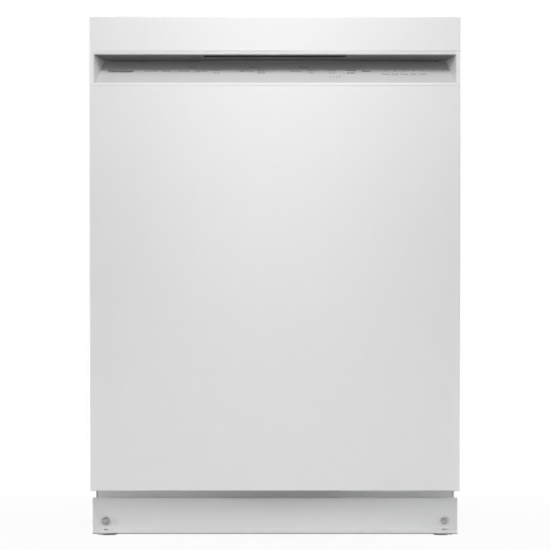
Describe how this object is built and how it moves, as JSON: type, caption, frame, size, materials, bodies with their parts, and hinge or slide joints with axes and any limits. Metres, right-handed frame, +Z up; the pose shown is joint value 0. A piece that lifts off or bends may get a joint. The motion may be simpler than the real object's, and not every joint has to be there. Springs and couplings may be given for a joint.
{
  "type": "dishwasher",
  "caption": "Built-in dishwasher with a full-width pocket handle, controls angled inside the pocket, a white drop-down door, a set-back toe panel and a steel tub holding two wire racks.",
  "frame": {"origin": "on the floor under the middle of the machine", "axes": "+X to the right seen from the front, +Y from the door towards the back, +Z up"},
  "size_m": [0.6064, 0.6224, 0.8604],
  "materials": {
    "white_enamel": "smooth white enamel",
    "white_moulding": "smooth white moulding",
    "silver_film": "satin silver film",
    "stainless": "brushed stainless",
    "galvanised": "zinc-coated sheet",
    "grey_plastic": "fine-grained moulding",
    "dark_plastic": "fine-grained moulding",
    "seal_rubber": "matt black",
    "felt": "needled fibre",
    "coated_wire": "nylon-coated wire",
    "hose_rubber": "smooth grey",
    "spring_steel": "dark bare steel"
  },
  "bodies": {
    "cabinet": {"tub_wrapper": "stainless", "tub_back": "stainless", "tub_floor": "stainless", "front_frame": "galvanised", "door_gasket": "seal_rubber", "sound_blanket": "felt", "front_crossmember": "galvanised", "rear_crossmember": "galvanised", "access_panel": "white_enamel", "toe_panel": "white_enamel", "sump_housing": "dark_plastic", "coarse_filter": "stainless", "heating_element": "spring_steel", "feed_tube": "grey_plastic", "wash_motor": "dark_plastic", "drain_pump": "dark_plastic", "inlet_valve": "grey_plastic", "fill_hose": "hose_rubber", "drain_hose": "hose_rubber", "junction_box": "galvanised", "strike_plate": "galvanised", "side_rail_left": "galvanised", "door_spring_left": "spring_steel", "rack_rail_left": "stainless", "worktop_bracket_left": "galvanised", "toe_screw_left": "galvanised", "side_rail_right": "galvanised", "door_spring_right": "spring_steel", "rack_rail_right": "stainless", "worktop_bracket_right": "galvanised", "toe_screw_right": "galvanised"},
    "door": {"door_skin": "white_enamel", "top_band": "white_enamel", "pocket_moulding": "white_moulding", "control_fascia": "silver_film", "control_board": "dark_plastic", "door_liner": "stainless", "door_insulation": "felt", "dispenser": "grey_plastic", "latch_housing": "dark_plastic", "door_bottom_seal": "seal_rubber", "hinge_arm_left": "galvanised", "hinge_arm_right": "galvanised"},
    "dispenser_lid_body": {"dispenser_lid": "grey_plastic"},
    "rinse_cap_body": {"rinse_cap": "grey_plastic"},
    "latch_plunger_body": {"latch_plunger": "grey_plastic"},
    "lower_rack_body": {"lower_rack": "coated_wire"},
    "folding_tines_body": {"folding_tines": "coated_wire"},
    "silverware_basket_body": {"silverware_basket": "grey_plastic"},
    "upper_rack_body": {"upper_rack": "coated_wire"},
    "upper_spray_arm_body": {"upper_spray_arm": "grey_plastic"},
    "cup_shelf_left_body": {"cup_shelf_left": "coated_wire"},
    "cup_shelf_right_body": {"cup_shelf_right": "coated_wire"},
    "lower_spray_arm_body": {"lower_spray_arm": "grey_plastic"},
    "filter_cup_body": {"filter_cup": "grey_plastic"},
    "float_dome_body": {"float_dome": "grey_plastic"},
    "foot_front_left_body": {"foot_front_left": "galvanised"},
    "foot_front_right_body": {"foot_front_right": "galvanised"},
    "foot_rear_left_body": {"foot_rear_left": "galvanised"},
    "foot_rear_right_body": {"foot_rear_right": "galvanised"}
  },
  "joints": [
    {"name": "door_hinge", "type": "hinge", "parent": "cabinet", "child": "door", "pos_m": [0, -0.25315, 0.1075], "axis": [1, 0, 0], "range_deg": [0, 90], "stiffness_Nm_per_rad": 30},
    {"name": "dispenser_lid_slide", "type": "slide", "parent": "door", "child": "dispenser_lid_body", "axis": [0, 0, 1], "range_m": [0, 0.046]},
    {"name": "rinse_cap_turn", "type": "hinge", "parent": "door", "child": "rinse_cap_body", "pos_m": [0.038, -0.24465, 0.482], "axis": [0, 1, 0], "range_deg": [0, 90]},
    {"name": "latch_plunger_slide", "type": "slide", "parent": "door", "child": "latch_plunger_body", "axis": [0, 0, 1], "range_m": [0, 0.005], "stiffness_N_per_m": 400},
    {"name": "lower_rack_slide", "type": "slide", "parent": "cabinet", "child": "lower_rack_body", "axis": [0, -1, 0], "range_m": [-0.004, 0.016]},
    {"name": "folding_tines_fold", "type": "hinge", "parent": "lower_rack_body", "child": "folding_tines_body", "pos_m": [0, 0.08, 0.17], "axis": [-1, 0, 0], "range_deg": [0, 88]},
    {"name": "silverware_basket_lift", "type": "slide", "parent": "lower_rack_body", "child": "silverware_basket_body", "axis": [0, 0, 1], "range_m": [0, 0.12]},
    {"name": "upper_rack_slide", "type": "slide", "parent": "cabinet", "child": "upper_rack_body", "axis": [0, -1, 0], "range_m": [-0.003, 0.009]},
    {"name": "upper_arm_spin", "type": "hinge", "parent": "upper_rack_body", "child": "upper_spray_arm_body", "pos_m": [0, 0.015, 0.462], "axis": [0, 0, 1], "continuous": true},
    {"name": "cup_shelf_left_fold", "type": "hinge", "parent": "upper_rack_body", "child": "cup_shelf_left_body", "pos_m": [-0.249, 0.015, 0.625], "axis": [0, -1, 0], "range_deg": [0, 96]},
    {"name": "cup_shelf_right_fold", "type": "hinge", "parent": "upper_rack_body", "child": "cup_shelf_right_body", "pos_m": [0.249, 0.015, 0.625], "axis": [0, 1, 0], "range_deg": [0, 96]},
    {"name": "lower_arm_spin", "type": "hinge", "parent": "cabinet", "child": "lower_spray_arm_body", "pos_m": [0, 0.015, 0.134], "axis": [0, 0, 1], "continuous": true},
    {"name": "filter_twist", "type": "hinge", "parent": "cabinet", "child": "filter_cup_body", "pos_m": [0.044, -0.021, 0.098], "axis": [0, 0, 1], "range_deg": [0, 90]},
    {"name": "float_lift", "type": "slide", "parent": "cabinet", "child": "float_dome_body", "axis": [0, 0, 1], "range_m": [0, 0.012]},
    {"name": "foot_front_left_screw", "type": "slide", "parent": "cabinet", "child": "foot_front_left_body", "axis": [0, 0, -1], "range_m": [0, 0.016]},
    {"name": "foot_front_right_screw", "type": "slide", "parent": "cabinet", "child": "foot_front_right_body", "axis": [0, 0, -1], "range_m": [0, 0.016]},
    {"name": "foot_rear_left_screw", "type": "slide", "parent": "cabinet", "child": "foot_rear_left_body", "axis": [0, 0, -1], "range_m": [0, 0.016]},
    {"name": "foot_rear_right_screw", "type": "slide", "parent": "cabinet", "child": "foot_rear_right_body", "axis": [0, 0, -1], "range_m": [0, 0.016]}
  ]
}
